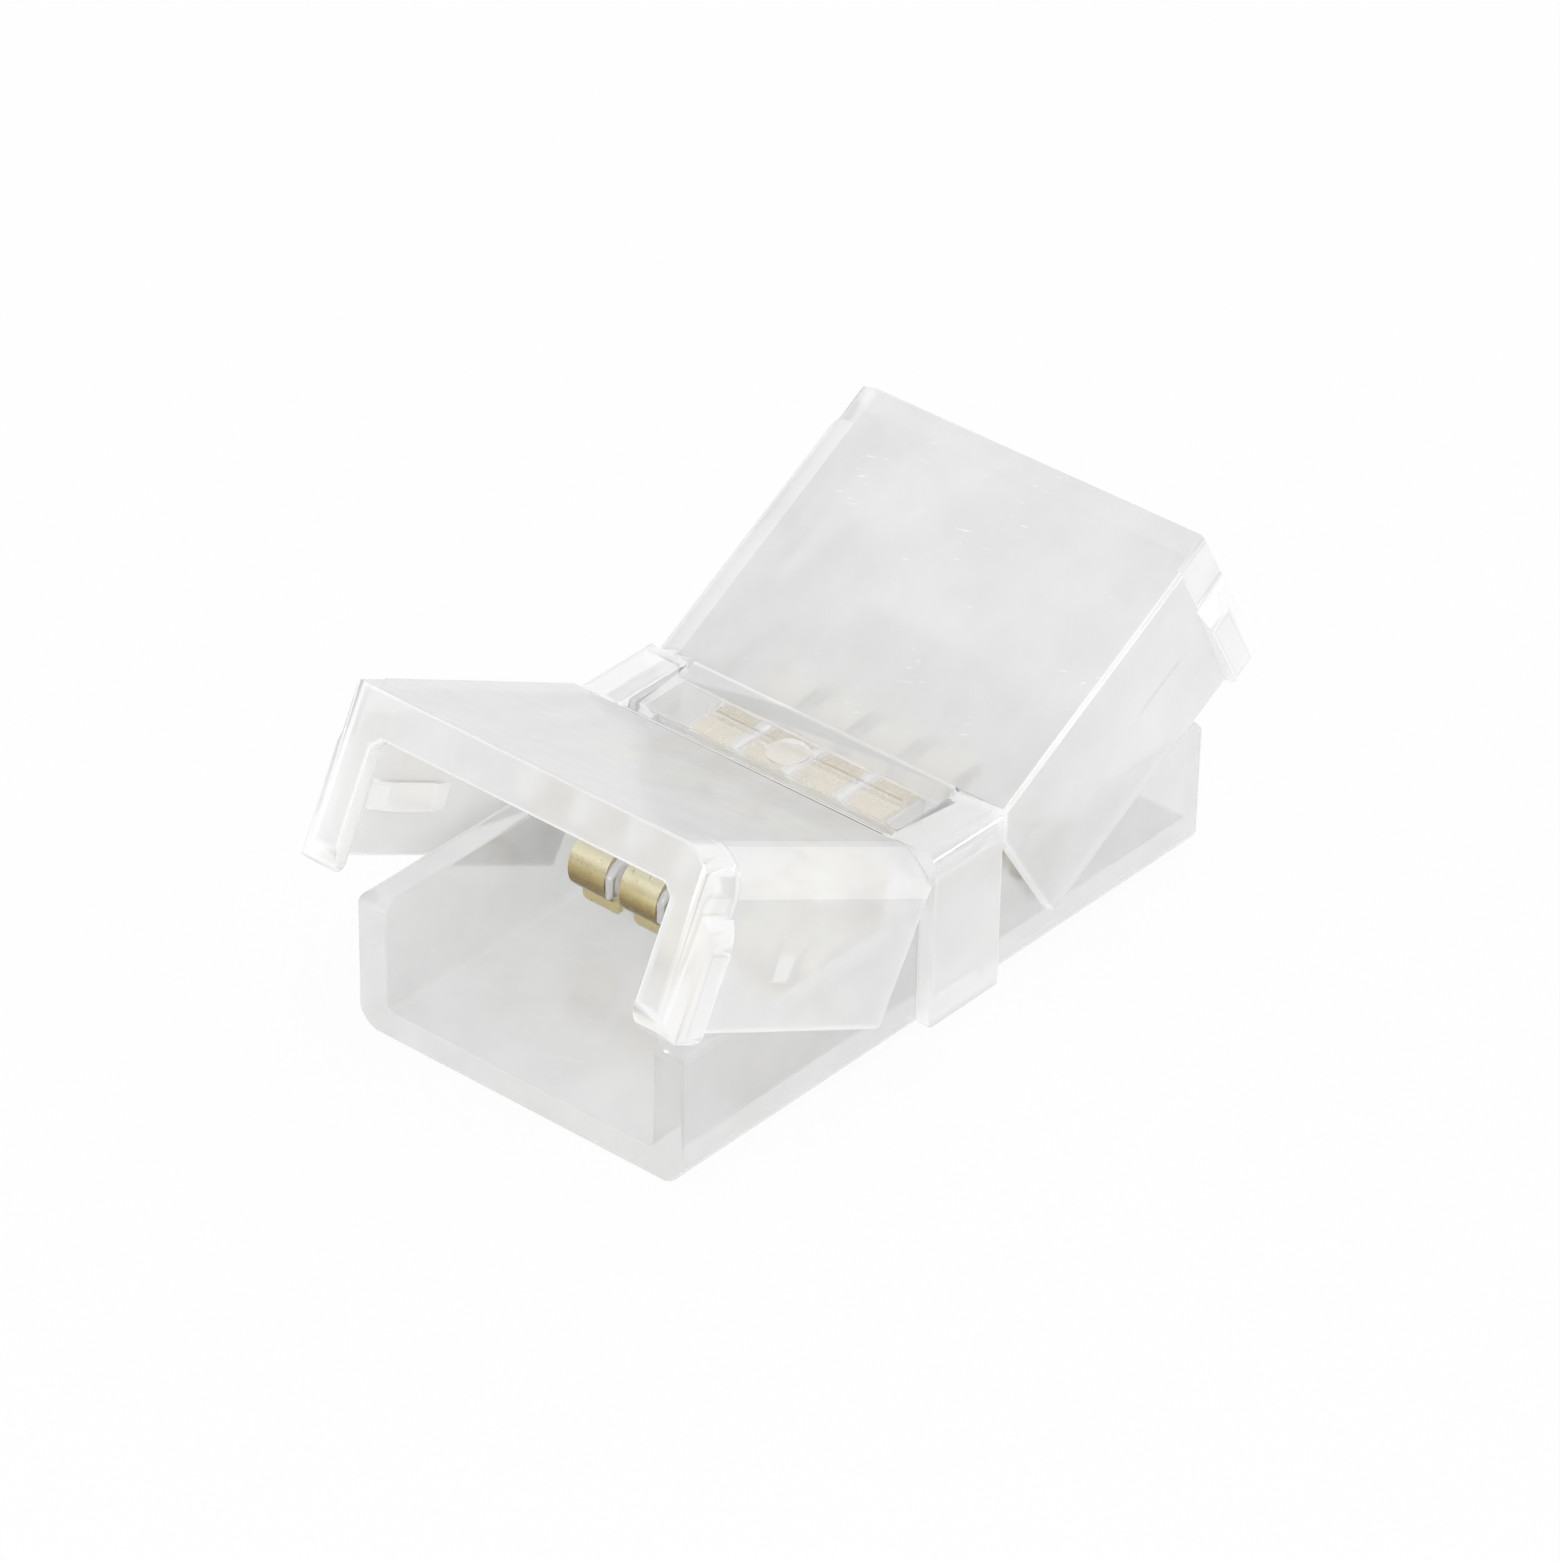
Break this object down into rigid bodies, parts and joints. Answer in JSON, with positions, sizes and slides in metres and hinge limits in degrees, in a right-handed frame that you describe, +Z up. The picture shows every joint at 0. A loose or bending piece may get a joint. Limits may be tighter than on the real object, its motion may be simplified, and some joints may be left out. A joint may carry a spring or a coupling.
{
  "type": "led strip connector",
  "caption": "Clear solderless connector that joins two LED strip ends end to end, with hinged flip covers over gold spring contacts.",
  "frame": {"origin": "middle of the tray's underside", "axes": "+X along the strip towards the rear cover, +Y across the strip, +Z up out of the tray"},
  "size_m": [0.0271, 0.0148, 0.012],
  "materials": {
    "clear_plastic": "clear moulded polycarbonate, polished, slightly milky",
    "gold_plate": "thin gold plating on a copper alloy spring strip, semi-bright"
  },
  "bodies": {
    "base": {"tray": "clear_plastic", "saddle": "clear_plastic", "contact_1": "gold_plate", "contact_2": "gold_plate", "contact_3": "gold_plate", "contact_4": "gold_plate"},
    "front_cover": {"front_cover": "clear_plastic"},
    "rear_cover": {"rear_cover": "clear_plastic"}
  },
  "joints": [
    {"name": "front_cover_hinge", "type": "hinge", "parent": "base", "child": "front_cover", "pos_m": [-0.0024, 0, 0.00523], "axis": [0, 1, 0], "range_deg": [-26.6, 3.1]},
    {"name": "rear_cover_hinge", "type": "hinge", "parent": "base", "child": "rear_cover", "pos_m": [0.0024, 0, 0.00523], "axis": [0, -1, 0], "range_deg": [-29.2, 0.5]}
  ]
}
